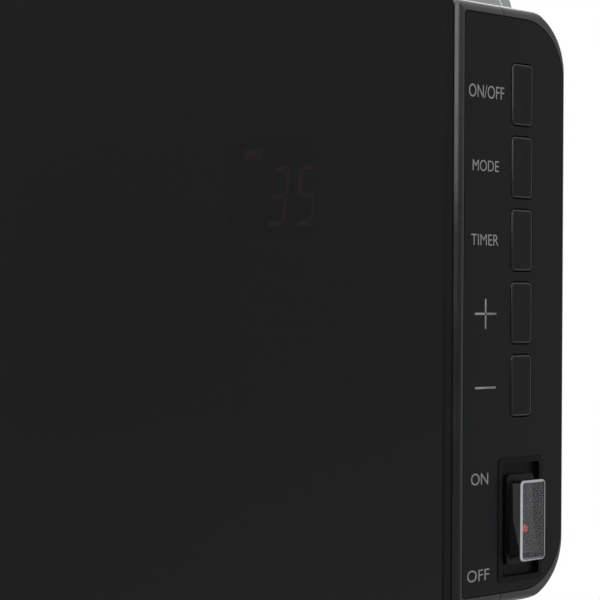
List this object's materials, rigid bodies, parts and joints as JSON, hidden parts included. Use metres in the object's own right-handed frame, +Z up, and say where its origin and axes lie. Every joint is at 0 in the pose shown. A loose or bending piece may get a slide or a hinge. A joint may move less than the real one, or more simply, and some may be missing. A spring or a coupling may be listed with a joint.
{
  "type": "oil filled radiator heater",
  "caption": "Oil filled radiator heater: black glass front, stack of hollow fins, side control pod with push keys and covered rocker switch, top handle and swivel castors.",
  "frame": {"origin": "middle of the footprint at floor level", "axes": "+Z up, -Y towards the glass front, +X towards the control pod at the right-hand end"},
  "size_m": [0.5058, 0.256, 0.672],
  "materials": {
    "fin_paint": "satin",
    "heat_oil": "gloss",
    "element_steel": "satin",
    "plated_steel": "satin",
    "bracket_steel": "satin",
    "fibre": "matte",
    "foam": "matte",
    "black_glass": "gloss",
    "pod_gloss": "gloss",
    "panel_satin": "satin",
    "key_black": "satin",
    "switch_black": "satin",
    "clear_cover": "gloss",
    "rocker_smoke": "gloss",
    "circuit_board": "satin",
    "component_black": "satin",
    "component_tin": "satin",
    "display_black": "gloss",
    "lamp_red": "gloss",
    "moulded_black": "matte",
    "wheel_black": "satin"
  },
  "bodies": {
    "radiator": {"case_screws": "plated_steel", "control_panel": "panel_satin", "cord_gland": "moulded_black", "display_board": "circuit_board", "display_module": "display_black", "element_flange": "plated_steel", "element_gasket": "fibre", "fin_1": "fin_paint", "fin_2": "fin_paint", "fin_3": "fin_paint", "fin_4": "fin_paint", "fin_5": "fin_paint", "fin_6": "fin_paint", "fin_7": "fin_paint", "fin_8": "fin_paint", "fin_9": "fin_paint", "flange_bolts": "plated_steel", "foot_clamps": "plated_steel", "front_glass": "black_glass", "glass_pads": "foam", "handle_clamps": "plated_steel", "heating_element": "element_steel", "indicator_lamp": "lamp_red", "keypad_board": "circuit_board", "left_foot": "moulded_black", "lower_rail": "bracket_steel", "pod_front_shell": "pod_gloss", "pod_rear_shell": "pod_gloss", "power_board": "circuit_board", "power_components": "component_black", "rail_hooks": "plated_steel", "right_foot": "moulded_black", "room_sensor": "component_black", "side_bracket": "bracket_steel", "switch_bezel": "switch_black", "switch_body": "switch_black", "switch_cover": "clear_cover", "tact_switches": "component_black", "terminal_cover": "moulded_black", "thermal_cutout": "component_tin", "thermal_oil": "heat_oil", "tilt_switch_body": "component_black", "top_handle": "moulded_black", "upper_rail": "bracket_steel", "wire_duct": "moulded_black"},
    "key_on_off": {"key_on_off": "key_black"},
    "key_mode": {"key_mode": "key_black"},
    "key_timer": {"key_timer": "key_black"},
    "key_plus": {"key_plus": "key_black"},
    "key_minus": {"key_minus": "key_black"},
    "switch_rocker": {"switch_rocker": "rocker_smoke"},
    "tilt_pendulum": {"tilt_pendulum": "component_tin"},
    "castor_fork_left_front": {"castor_fork_left_front": "plated_steel"},
    "castor_wheel_left_front": {"castor_wheel_left_front": "wheel_black"},
    "castor_fork_left_rear": {"castor_fork_left_rear": "plated_steel"},
    "castor_wheel_left_rear": {"castor_wheel_left_rear": "wheel_black"},
    "castor_fork_right_front": {"castor_fork_right_front": "plated_steel"},
    "castor_wheel_right_front": {"castor_wheel_right_front": "wheel_black"},
    "castor_fork_right_rear": {"castor_fork_right_rear": "plated_steel"},
    "castor_wheel_right_rear": {"castor_wheel_right_rear": "wheel_black"}
  },
  "joints": [
    {"name": "key_on_off_press", "type": "slide", "parent": "radiator", "child": "key_on_off", "axis": [-1, 0, 0], "range_m": [0, 0.0008], "stiffness_N_per_m": 600, "springref_m": -0.0003},
    {"name": "key_mode_press", "type": "slide", "parent": "radiator", "child": "key_mode", "axis": [-1, 0, 0], "range_m": [0, 0.0008], "stiffness_N_per_m": 600, "springref_m": -0.0003},
    {"name": "key_timer_press", "type": "slide", "parent": "radiator", "child": "key_timer", "axis": [-1, 0, 0], "range_m": [0, 0.0008], "stiffness_N_per_m": 600, "springref_m": -0.0003},
    {"name": "key_plus_press", "type": "slide", "parent": "radiator", "child": "key_plus", "axis": [-1, 0, 0], "range_m": [0, 0.0008], "stiffness_N_per_m": 600, "springref_m": -0.0003},
    {"name": "key_minus_press", "type": "slide", "parent": "radiator", "child": "key_minus", "axis": [-1, 0, 0], "range_m": [0, 0.0008], "stiffness_N_per_m": 600, "springref_m": -0.0003},
    {"name": "rocker_tilt", "type": "hinge", "parent": "radiator", "child": "switch_rocker", "pos_m": [0.2455, -0.0592, 0.4043], "axis": [0, 1, 0], "range_deg": [0, 16]},
    {"name": "pendulum_swing", "type": "hinge", "parent": "radiator", "child": "tilt_pendulum", "pos_m": [0.1635, -0.0565, 0.44435], "axis": [0, 1, 0], "range_deg": [-15, 15]},
    {"name": "swivel_left_front", "type": "hinge", "parent": "radiator", "child": "castor_fork_left_front", "pos_m": [-0.2079, -0.111, 0.054], "axis": [0, 0, 1], "continuous": true},
    {"name": "roll_left_front", "type": "hinge", "parent": "castor_fork_left_front", "child": "castor_wheel_left_front", "pos_m": [-0.2219, -0.111, 0.02], "axis": [0, 1, 0], "continuous": true},
    {"name": "swivel_left_rear", "type": "hinge", "parent": "radiator", "child": "castor_fork_left_rear", "pos_m": [-0.2079, 0.111, 0.054], "axis": [0, 0, 1], "continuous": true},
    {"name": "roll_left_rear", "type": "hinge", "parent": "castor_fork_left_rear", "child": "castor_wheel_left_rear", "pos_m": [-0.2219, 0.111, 0.02], "axis": [0, 1, 0], "continuous": true},
    {"name": "swivel_right_front", "type": "hinge", "parent": "radiator", "child": "castor_fork_right_front", "pos_m": [0.1001, -0.111, 0.054], "axis": [0, 0, 1], "continuous": true},
    {"name": "roll_right_front", "type": "hinge", "parent": "castor_fork_right_front", "child": "castor_wheel_right_front", "pos_m": [0.0861, -0.111, 0.02], "axis": [0, 1, 0], "continuous": true},
    {"name": "swivel_right_rear", "type": "hinge", "parent": "radiator", "child": "castor_fork_right_rear", "pos_m": [0.1001, 0.111, 0.054], "axis": [0, 0, 1], "continuous": true},
    {"name": "roll_right_rear", "type": "hinge", "parent": "castor_fork_right_rear", "child": "castor_wheel_right_rear", "pos_m": [0.0861, 0.111, 0.02], "axis": [0, 1, 0], "continuous": true}
  ]
}
